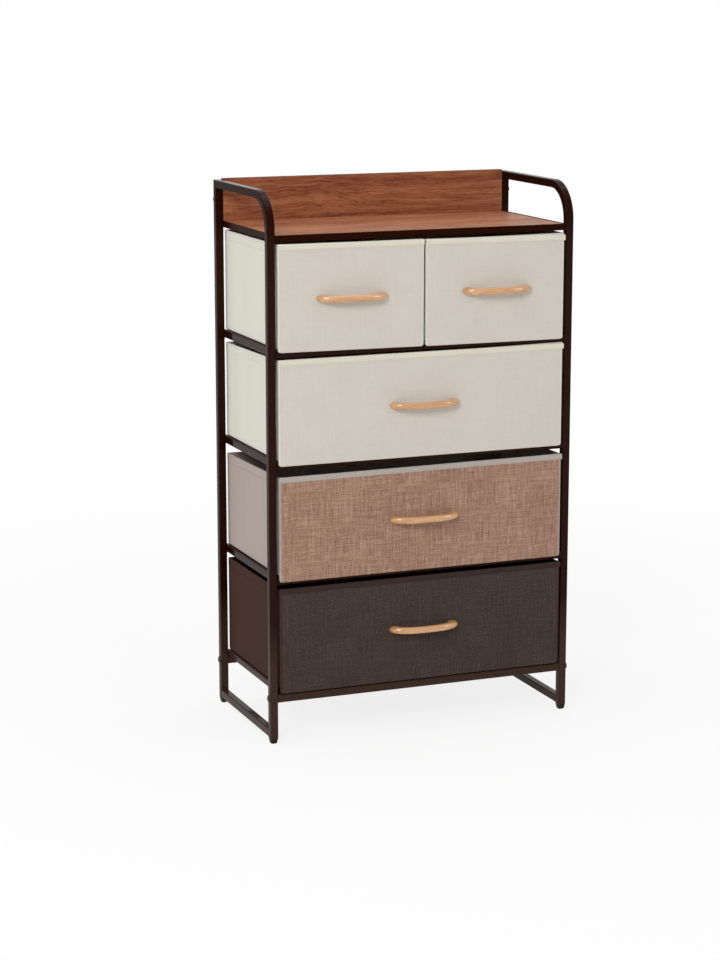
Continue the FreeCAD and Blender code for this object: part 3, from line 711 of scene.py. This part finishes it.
def linenFacePiece(name, family, seed):
    s = linenFace
    low, high = panelBoxes[name]
    inset, edge = s["sideInset"], s["edgeRadius"]
    width, height = high.x - low.x - 2 * inset, high.z - low.z - 2 * inset
    xLines = gridLines(width, s["step"], s["nearEnd"])
    zLines = gridLines(height, s["step"], s["nearEnd"])

    def point(x, z, extra, y):
        shrunkWidth, shrunkHeight = width - 2 * extra, height - 2 * extra
        corners = (max(0.0, s[corner] - extra) for corner in ("lowerCorner", "upperCorner"))
        x, z = roundedPoint(x * shrunkWidth / width, z * shrunkHeight / height,
                            shrunkWidth, shrunkHeight, *corners)
        x, z = x + low.x + inset + extra, z + low.z + inset + extra
        return Vector((x, y, z + lift(name, x, z)))

    vertices = []
    for z in zLines:
        for x in xLines:
            vertex = point(x, z, edge, low.y)
            vertex.y -= faceHeight(seed, vertex.x, vertex.z, low, high)
            vertices.append(vertex)
    columns, rows = len(xLines), len(zLines)
    faces = []
    for row in range(rows - 1):
        for column in range(columns - 1):
            corner = row * columns + column
            faces.append((corner, corner + 1, corner + columns + 1, corner + columns))
    # from the rim of that grid the cover goes back round the board's edge, layer by layer
    rim = [(column, 0) for column in range(columns)]
    rim += [(columns - 1, row) for row in range(1, rows)]
    rim += [(column, rows - 1) for column in range(columns - 2, -1, -1)]
    rim += [(0, row) for row in range(rows - 2, 0, -1)]
    ring = [row * columns + column for column, row in rim]
    layers = [(extra, low.y + deep) for extra, deep in quarterRound(edge, s["edgeSteps"])[1:]]
    layers += [(0.0, high.y - s["backRound"]), (s["backRound"], high.y - s["backGap"])]
    for extra, y in layers:
        start = len(vertices)
        vertices += [point(xLines[column], zLines[row], extra, y) for column, row in rim]
        following = list(range(start, len(vertices)))
        faces += ringFaces(ring, following)
        ring = following
    faces.append(tuple(reversed(ring)))
    piece = addPiece(name + "_linen_face", name + "_drawer", family + "_linen", (vertices, faces), s)
    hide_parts(name + "_front_panel")


# plain edging: the bin's cloth comes round the two upright edges of the face
edging = {
    "lip": 1.3 * mm, "thickness": 0.55 * mm, "proud": 0.25 * mm,
    "rearGap": 0.15 * mm, "topGap": 5.5 * mm,
    "innerRound": 0.45,  # the fold's inner round, as a share of its outer one
    "tipRound": 0.3,  # the lip's rounding, as a share of its thickness
    "step": 9.0 * mm, "cornerSteps": 5,
    "skip": 2,  # points left out at each strip's lower end
    "wave": ((11, 0.0, 60.0, 0.12 * mm),),
    "waveOut": 0.4, "sharp": 60.0,
}


def outlinePath(low, high, radius, top, step, cornerSteps):
    # points and outward directions down the left side, along the bottom and up the right side
    x, z = low.x + radius, low.z + radius
    count = max(2, round((top - z) / step))
    left = [(low.x, place, -1.0, 0.0) for place in spaced(top, z, count)[:-1]]
    for angle in spaced(math.pi, 1.5 * math.pi, cornerSteps):
        outX, outZ = math.cos(angle), math.sin(angle)
        left.append((x + radius * outX, z + radius * outZ, outX, outZ))
    count = max(2, round((high.x - radius - x) / step))
    bottom = [(place, low.z, 0.0, -1.0) for place in spaced(x, high.x - radius, count)[1:-1]]
    right = [(low.x + high.x - x, z, -outX, outZ) for x, z, outX, outZ in reversed(left)]
    return left, bottom, right


def edgingPiece(name, family, seed):
    s = edging
    low, high = panelBoxes[name]
    thick = s["thickness"]
    front, rear = low.y - s["proud"], high.y - s["rearGap"]
    radius = linenFace["edgeRadius"]
    # the section from the rear round the fold to the lip, and back inside it
    profile = [(-thick, rear), (0.0, rear), (0.0, front + radius)]
    turned = quarterRound(radius, linenFace["edgeSteps"])[1:]
    profile += [(-inner, front + deep) for deep, inner in turned]
    tip, nearTip = -radius - s["lip"], -radius - s["lip"] + thick * s["tipRound"]
    profile += [(nearTip, front), (tip, front + thick / 2), (nearTip, front + thick)]
    fold = radius * s["innerRound"]
    profile += [(-radius, front + thick), (-fold, front + fold), (-thick, front + radius)]
    left, _, right = outlinePath(low, high, linenFace["lowerCorner"], high.z - s["topGap"],
                                 s["step"], s["cornerSteps"])
    strips = []
    for side in (left[:-s["skip"]], right[s["skip"]:]):
        stations = []
        for x, z, outX, outZ in side:
            wave = ripple(seed, x, z, s["wave"])
            place = Vector((x + outX * wave, wave * s["waveOut"], z + outZ * wave + lift(name, x, z)))
            stations.append((place, Vector((outX, 0.0, outZ)), Vector((0.0, 1.0, 0.0))))
        strips.append(sweep(stations, profile))
    addPiece(name + "_edging", name + "_drawer", family + "_plain", joinShapes(strips), s)


# tape folded over the top edge of the face
rimTape = {
    "thickness": 0.6 * mm, "proud": 0.15 * mm,
    "rearGap": 0.1 * mm, "rear": 2.6 * mm, "overhang": 0.3 * mm,
    "belly": 0.05 * mm, "edgeRise": 0.1 * mm, "edgeDrop": 0.15 * mm,
    "foldSteps": 8, "step": 10.0 * mm,
    "wave": ((21, 16.0, 1.0, 0.28 * mm),),
    "waveOut": 0.5, "waveUp": 0.6, "sharp": 60.0,
}


def tapePlace(name, seed, x):
    # where the tape's section stands: it rises with the face and waves a little
    s = rimTape
    wave = ripple(seed, x, 0.0, s["wave"])
    rise = lift(name, x, tapeBoxes[name][1].z)
    return Vector((x, wave * s["waveOut"], rise + wave * s["waveUp"]))


def rimTapePiece(name, family, seed):
    s = rimTape
    low, high = tapeBoxes[name]
    front, back = low.y - s["proud"], high.y - s["rearGap"]
    radius, middle = (back - front) / 2, (back + front) / 2
    crest = high.z - radius
    halfway = (low.z + crest) / 2
    thick = s["thickness"]
    turn = spaced(math.pi, 0.0, s["foldSteps"])

    def fold(reach, angles):
        return [(middle + reach * math.cos(angle), crest + reach * math.sin(angle)) for angle in angles]

    # the section up the front, over the fold and down the rear, and back inside it
    profile = [(front, low.z), (front - s["belly"], halfway)] + fold(radius, turn)
    profile += [(back, high.z - s["rear"]), (back - thick, high.z - s["rear"])]
    profile += fold(radius - thick, reversed(turn))
    profile += [(front + thick, halfway), (front + thick, low.z + s["edgeRise"]),
                (front + thick / 2, low.z - s["edgeDrop"])]
    left, right = low.x - s["overhang"], high.x + s["overhang"]
    stations = [(tapePlace(name, seed, x), Vector((0, 1, 0)), Vector((0, 0, 1)))
                for x in spaced(left, right, round((right - left) / s["step"]))]
    shape = sweep(stations, profile)
    piece = addPiece(name + "_rim_tape", name + "_drawer", family + "_binding", shape, s)
    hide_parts(name + "_rim_binding")


# open fabric bin: soft walls that draw in between their corners, a double hem round the top
fabricBin = {
    "wall": 1.6 * mm, "step": 12.0 * mm, "sharp": 55.0,
    "rows": [z * mm for z in (14, 28, 45, 62, 80, 98, 116, 134, 150, 162, 163.2, 172, 181)],
    "roundSteps": 5, "leastRound": 0.5 * mm,
    "rim": ((0.25, 0.35 * mm), (0.5, 0.0), (0.75, 0.35 * mm)),  # share of the wall, depth below the top
    # the hem's depth, where it starts above that, how far it stands out, what share of that it
    # stands in, and how much it calms the waves
    "hem": 20.0 * mm, "hemStart": 0.5 * mm, "hemExtra": 0.3 * mm, "hemInside": 0.6, "hemCalm": 0.5,
    "cornerRadius": 3.0 * mm, "cornerSteps": 3,
    "endRun": 35.0 * mm, "footRun": 25.0 * mm,
    "pullIn": 2.0 * mm, "pullCurve": 0.7,
    "rimFrom": 0.55, "rimPull": 0.55,
    "wave": 0.9 * mm,
    "waves": ((31, 17.0, 2.2, 1.0), (37, 38.0, 6.0, 0.6)),
    "waveStart": {"left": 0.0, "rear": 3.0, "right": 6.0},
}

# how round the bin's lower edge has worn, and how far its rim stands above its place
# at the front, at the rear, and by how much more along its right wall, all in millimetres
binHang = {
    "upper_left": {"round": 4.0, "front": 4.4, "rear": 4.0, "right": 0.0},
    "upper_right": {"round": 4.0, "front": 3.0, "rear": 3.6, "right": 1.3},
    "second": {"round": 3.5, "front": -0.6, "rear": -5.2, "right": 4.0},
    "third": {"round": 4.0, "front": -1.0, "rear": -5.6, "right": 5.5},
    "bottom": {"round": 3.5, "front": -0.8, "rear": -1.6, "right": 5.5},
}


def binOffset(seed, along, length, z, height, wall):
    # how far a wall stands in (negative) or out at a point; the front wall is sewn flat
    s = fabricBin
    if wall == "front":
        return 0.0
    ends = smooth(along / s["endRun"]) * smooth((length - along) / s["endRun"])
    belly = math.sin(math.pi * min(1.0, z / height)) ** s["pullCurve"]
    rimShare = s["rimPull"] * smooth((z / height - s["rimFrom"]) / (1 - s["rimFrom"]))
    pull = -s["pullIn"] * ends * max(belly, rimShare)
    wave = s["wave"] * ripple(seed, along + s["waveStart"][wall], z, s["waves"])
    hemShare = smooth((z - height + s["hem"]) / s["hem"])
    return pull + wave * ends * smooth(z / s["footRun"]) * (1 - s["hemCalm"] * hemShare)


def binLoop(low, high):
    # points round the bin: (x, y, outward x, outward y, wall, distance along it, its length)
    radius, steps = fabricBin["cornerRadius"], fabricBin["cornerSteps"]
    corners = [(low.x, low.y), (high.x, low.y), (high.x, high.y), (low.x, high.y)]
    loop = []
    for index, wall in enumerate(["front", "right", "rear", "left"]):
        start, end = Vector(corners[index]), Vector(corners[(index + 1) % 4])
        direction = (end - start).normalized()
        outward = Vector((direction.y, -direction.x))
        length = (end - start).length
        count = round((length - 2 * radius) / fabricBin["step"])
        for along in spaced(radius, length - radius, count):
            place = start + direction * along
            loop.append((place.x, place.y, outward.x, outward.y, wall, along, length))
        pivot = end - direction * radius - outward * radius
        for angle in spaced(0.0, math.pi / 2, steps)[1:-1]:
            turned = outward * math.cos(angle) + direction * math.sin(angle)
            place = pivot + turned * radius
            loop.append((place.x, place.y, turned.x, turned.y, wall, length, length))
    return loop


def binPlace(name, seed, station, z, depth, low, high):
    # a point of the bin's cloth, with its wall's slackness and its rim's sag
    s = fabricBin
    x, y, outX, outY, wall, along, length = station
    height = high.z - low.z
    out = binOffset(seed, along, length, z, height, wall) - depth
    if wall != "front" and z > height - s["hem"] + s["hemStart"]:
        out += s["hemExtra"] if depth < s["wall"] / 2 else -s["hemExtra"] * s["hemInside"]
    sag = binHang[name]
    backward = (y - low.y) / (high.y - low.y)
    rightward = (x - low.x) / (high.x - low.x)
    rimRise = blend(sag["front"], sag["rear"], smooth(backward))
    rimRise += sag["right"] * max(0.0, rightward) ** 2
    rise = rimRise * mm * (max(0.0, z) / height) ** 2
    return Vector((x + outX * out, y + outY * out, low.z + z + rise))


def fabricBinPiece(name, family, seed):
    s = fabricBin
    low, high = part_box(name + "_bin")
    height = high.z - low.z
    thick = s["wall"]
    outerRound = binHang[name]["round"] * mm
    innerRound = max(s["leastRound"], outerRound - thick)
    # (depth into the wall, height) of each ring, up the outside, over the rim and down the inside
    levels = quarterRound(outerRound, s["roundSteps"])
    levels += [(0.0, z) for z in s["rows"]]
    levels += [(share * thick, height - below) for share, below in s["rim"]]
    levels += [(thick, z) for z in reversed(s["rows"])]
    levels += [(thick + a, thick + b) for a, b in reversed(quarterRound(innerRound, s["roundSteps"]))]
    loop = binLoop(low, high)
    vertices = [binPlace(name, seed, station, z, depth, low, high)
                for depth, z in levels for station in loop]
    count = len(loop)
    shape = (vertices, tubeFaces(len(levels), count))
    piece = addPiece(name + "_fabric_bin", name + "_drawer", family + "_plain", shape, s)
    for edge in piece.data.edges:
        # the flat floor, outside and inside, is shaded apart from the round below the walls
        if max(edge.vertices) < count or min(edge.vertices) >= len(vertices) - count:
            edge.use_edge_sharp = True
    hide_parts(name + "_bin")


# sewing thread: short rounded stitches laid along the face's seam, the tape and the bin's hem
stitch = {
    "pitch": 4.2 * mm, "length": 3.1 * mm, "radius": 0.27 * mm, "sides": 6,
    "full": 0.55,  # how far along either half the thread keeps its full thickness
    "seamProud": 0.05 * mm, "seamTopGap": 12.0 * mm, "seamStep": 6.0 * mm,
    "seamCorner": 1.5 * mm, "seamCornerSteps": 4,
    "tapeRise": 1.8 * mm, "tapeInset": 2.0 * mm, "tapeStep": 8.0 * mm,
    "hemRise": 3.0 * mm, "hemProud": 0.1 * mm, "sharp": 80.0,
}


def alongPath(points, pitch):
    # evenly spaced places on a polyline, with the direction there
    places = []
    travelled = 0.0
    due = pitch / 2
    for start, end in zip(points, points[1:]):
        span = (end - start).length
        while due <= travelled + span and span > 0:
            places.append((start.lerp(end, (due - travelled) / span), (end - start).normalized()))
            due += pitch
        travelled += span
    return places


def stitchRow(points, outward):
    s = stitch
    count = s["sides"]
    vertices, faces = [], []
    for centre, direction in alongPath(points, s["pitch"]):
        side = direction.cross(outward).normalized()
        up = side.cross(direction).normalized()
        half = direction * (s["length"] / 2)
        start = len(vertices)
        vertices.append(centre - half)
        for share in (-s["full"], s["full"]):
            for angle in turns(count):
                ringPoint = side * math.cos(angle) + up * math.sin(angle)
                vertices.append(centre + half * share + ringPoint * s["radius"])
        vertices.append(centre + half)
        first, second, end = start + 1, start + 1 + count, start + 1 + 2 * count
        for index in range(count):
            after = (index + 1) % count
            faces.append((start, first + after, first + index))
            faces.append((first + index, first + after, second + after, second + index))
            faces.append((second + index, second + after, end))
    return vertices, faces


def stitchingPiece(name, family, seed):
    s = stitch
    low, high = panelBoxes[name]
    inset = linenFace["channelInset"]
    innerLow = Vector((low.x + inset, 0, low.z + inset))
    innerHigh = Vector((high.x - inset, 0, high.z))
    radius = max(s["seamCorner"], linenFace["lowerCorner"] - inset)
    left, bottom, right = outlinePath(innerLow, innerHigh, radius, high.z - s["seamTopGap"],
                                      s["seamStep"], s["seamCornerSteps"])
    seam = []
    for x, z, _, _ in left + bottom + right:
        y = low.y - faceHeight(seed, x, z, low, high) - s["seamProud"]
        seam.append(Vector((x, y, z + lift(name, x, z))))
    low, high = tapeBoxes[name]
    inset, count = s["tapeInset"], round((high.x - low.x) / s["tapeStep"])
    offset = Vector((0, low.y - rimTape["proud"], low.z + s["tapeRise"]))
    row = [tapePlace(name, seed, x) + offset for x in spaced(low.x + inset, high.x - inset, count)]
    forward = Vector((0, -1, 0))
    shape = joinShapes([stitchRow(seam, forward), stitchRow(row, forward)])
    addPiece(name + "_stitching", name + "_drawer", family + "_binding", shape, s)


def hemStitchingPiece(name, family, seed):
    low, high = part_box(name + "_bin")
    z = high.z - low.z - fabricBin["hem"] + stitch["hemRise"]
    loop = binLoop(low, high)
    rows = []
    for wall in ("right", "rear", "left"):
        row = [station for station in loop if station[4] == wall and station[5] < station[6]]
        outward = Vector((row[0][2], row[0][3], 0))
        proud = outward * stitch["hemProud"]
        points = [binPlace(name, seed, station, z, 0.0, low, high) + proud for station in row]
        rows.append(stitchRow(points, outward))
    addPiece(name + "_hem_stitching", name + "_drawer", family + "_binding", joinShapes(rows), stitch)


# wooden bow handle: an outer and an inner curve in plan, and a rounded section between them
bowHandle = {
    "outer": (68.5 * mm, 26.7 * mm), "inner": (46.0 * mm, 16.2 * mm),
    "curve": 2.35,
    "footHeight": 6.8 * mm, "barHeight": 6.4 * mm,
    "footSection": 1.9, "barSection": 2.4,
    "seat": 0.5 * mm, "rise": 1.0 * mm,
    "stations": 44, "sides": 24, "sharp": 60.0,
}


def rounder(value, power):
    return math.copysign(abs(value) ** power, value)


def bowHandlePiece(name):
    s = bowHandle
    low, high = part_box(name + "_handle")
    centreX, back = (low.x + high.x) / 2, high.y
    centreZ = (low.z + high.z) / 2 + s["rise"]
    vertices = []
    for angle in spaced(0.0, math.pi, s["stations"]):
        run, rise = rounder(math.cos(angle), 2 / s["curve"]), rounder(math.sin(angle), 2 / s["curve"])
        ends = [Vector((centreX + wide * run, back + s["seat"] - (reach + s["seat"]) * rise, centreZ))
                for wide, reach in (s["outer"], s["inner"])]
        middle, depth = (ends[0] + ends[1]) / 2, (ends[0] - ends[1]) / 2
        share = math.sqrt(max(0.0, rise))
        height = blend(s["footHeight"], s["barHeight"], share)
        power = 2 / blend(s["footSection"], s["barSection"], share)
        for turn in turns(s["sides"]):
            upward = Vector((0, 0, height * rounder(math.sin(turn), power)))
            vertices.append(middle + depth * rounder(math.cos(turn), power) + upward)
    shape = (vertices, tubeFaces(s["stations"] + 1, s["sides"]))
    piece = addPiece(name + "_bow_handle", name + "_drawer", "maple", shape, s)
    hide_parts(name + "_handle")


for seed, (name, family) in enumerate(drawers.items(), start=1):
    linenFacePiece(name, family, seed)
    bowHandlePiece(name)
    edgingPiece(name, family, seed)
    rimTapePiece(name, family, seed)
    fabricBinPiece(name, family, seed)
    stitchingPiece(name, family, seed)
    hemStitchingPiece(name, family, seed)
    print("drawer sewn:", name)


# button-head bolts with a hexagon socket, their rings given as shares of the radius and of the height
boltHead = {
    "base_bolts": {"radius": 7.0 * mm, "height": 3.2 * mm, "socket": 2.4 * mm},
    "board_bolts": {"radius": 5.0 * mm, "height": 2.6 * mm, "socket": 1.8 * mm},
    "postFace": 300.0 * mm,  # from the dresser's middle
    "sides": 36, "sharp": 35.0,
    "rim": ((0.96, 0.0), (1.0, 0.12), (0.985, 0.30)),
    "domeDegrees": (27, 39, 51, 63, 75),
    "domeWidth": 1.02,
    "socketLevels": (0.98, 0.35),
}


def boltHeadShape(node, y, z, side):
    # rings from the rim over the dome and down into the socket, round the bolt's axis
    s = boltHead
    radius, height, socket = s[node]["radius"], s[node]["height"], s[node]["socket"]
    angles = turns(s["sides"])
    rimTop = s["rim"][-1][1]
    rings = [([radius * wide] * s["sides"], height * out) for wide, out in s["rim"]]
    for degrees in s["domeDegrees"]:
        angle = math.radians(degrees)
        wide = radius * math.cos(angle) * s["domeWidth"]
        rings.append(([wide] * s["sides"], height * (rimTop + (1 - rimTop) * math.sin(angle))))
    # a hexagon lies further out towards each of its corners
    sectors = [(angle + math.pi / 6) % (math.pi / 3) - math.pi / 6 for angle in angles]
    hexagon = [socket / math.cos(sector) for sector in sectors]
    rings += [(hexagon, height * out) for out in s["socketLevels"]]
    centre = Vector((side * s["postFace"], y, z))
    vertices = [centre + Vector((side * out, wide * math.cos(angle), wide * math.sin(angle)))
                for widths, out in rings for wide, angle in zip(widths, angles)]
    return vertices, tubeFaces(len(rings), s["sides"])


def boltPieces(node, rows, z):
    heads = [boltHeadShape(node, y, z, side) for side in (-1, 1) for y in rows]
    piece = addPiece(node[:-1] + "_heads", "frame", "dark_bolt", joinShapes(heads), boltHead)
    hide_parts(node)


low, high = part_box("base_bolts")
inset = boltHead["base_bolts"]["radius"]
boltPieces("base_bolts", (low.y + inset, high.y - inset), (low.z + high.z) / 2)
low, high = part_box("board_bolts")
boltPieces("board_bolts", ((low.y + high.y) / 2,), (low.z + high.z) / 2)
print("bolt heads made")


# plain pale floor and surround
studio = {
    "floorHalf": 14.0,
    "floorColour": (0.90, 0.90, 0.90, 1.0),
    "floorOwnWhite": 0.83,
    "fadeStart": 0.8, "fadeEnd": 2.2,
    "ambient": 0.45,
}


def seenDirectly(tree):
    # 1 for rays from the camera, off glossy surfaces and through clear ones
    path = put(tree, "ShaderNodeLightPath").outputs
    seen = calc(tree, "MAXIMUM", path["Is Camera Ray"], path["Is Glossy Ray"])
    return calc(tree, "MAXIMUM", seen, path["Is Transmission Ray"])


def addFloor():
    half = studio["floorHalf"]
    mesh = bpy.data.meshes.new("floor")
    corners = [(-half, -half, 0), (half, -half, 0), (half, half, 0), (-half, half, 0)]
    mesh.from_pydata(corners, [], [(0, 1, 2, 3)])
    floor = newObject("floor", mesh)
    material, tree, shader = newMaterial("floor_paper")
    tree.nodes.remove(shader)
    matt = put(tree, "ShaderNodeBsdfDiffuse", {"Color": studio["floorColour"]}).outputs[0]
    white = put(tree, "ShaderNodeEmission", {"Color": (1, 1, 1, 1), "Strength": 1.0}).outputs[0]
    place = put(tree, "ShaderNodeTexCoord").outputs["Object"]
    distance = put(tree, "ShaderNodeVectorMath", {0: place}, operation="LENGTH").outputs["Value"]
    own = remap(tree, distance, studio["fadeStart"], studio["fadeEnd"], studio["floorOwnWhite"], 1.0)
    share = times(tree, own, seenDirectly(tree))
    shown = put(tree, "ShaderNodeMixShader", {0: share, 1: matt, 2: white}).outputs[0]
    feed(tree, tree.nodes["Material Output"], {"Surface": shown})
    mesh.materials.append(material)


def addSurround():
    world = bpy.data.worlds.new("surround")
    bpy.context.scene.world = world
    world.use_nodes = True
    tree = world.node_tree
    strength = remap(tree, seenDirectly(tree), 0.0, 1.0, studio["ambient"], 1.0)
    feed(tree, tree.nodes["Background"], {"Color": (1.0, 1.0, 1.0, 1.0), "Strength": strength})


addFloor()
addSurround()

# soft boxes: name, place, size and power in watts, all aimed at the dresser's middle
softBoxes = {
    "key": {"place": (-2.6, -3.4, 2.9), "size": (1.4, 1.4), "power": 88.0},
    "side": {"place": (-3.6, 0.4, 1.9), "size": (0.9, 1.6), "power": 26.0},
    "fill": {"place": (3.3, -3.0, 1.8), "size": (1.1, 2.2), "power": 23.0},
    "top": {"place": (0.2, 0.3, 3.6), "size": (2.4, 2.4), "power": 30.0},
}


def addSoftBoxes():
    aim = (cadBox[0] + cadBox[1]) / 2
    for name, box in softBoxes.items():
        data = bpy.data.lights.new(name, "AREA")
        data.shape = "RECTANGLE"
        data.size, data.size_y = box["size"]
        data.energy = box["power"]
        lamp = newObject(name, data)
        lamp.location = box["place"]
        lamp.rotation_euler = (aim - lamp.location).to_track_quat("-Z", "Y").to_euler()


addSoftBoxes()
print("studio lit")

# the camera: lens and sensor in millimetres, yaw and downward pitch in degrees
camera = {
    "place": (-1.7522, -4.1965, 1.3882),
    "yaw": 21.824, "pitch": 11.705,
    "lens": 92.3, "sensor": 36.0, "reach": 60.0,
}


def addCamera():
    data = bpy.data.cameras.new("camera")
    data.lens = camera["lens"]
    data.sensor_width = camera["sensor"]
    data.clip_end = camera["reach"]
    view = newObject("camera", data)
    view.location = camera["place"]
    view.rotation_euler = (math.radians(90 - camera["pitch"]), 0.0, -math.radians(camera["yaw"]))
    bpy.context.scene.camera = view


addCamera()
bpy.context.scene.view_settings.view_transform = "Standard"
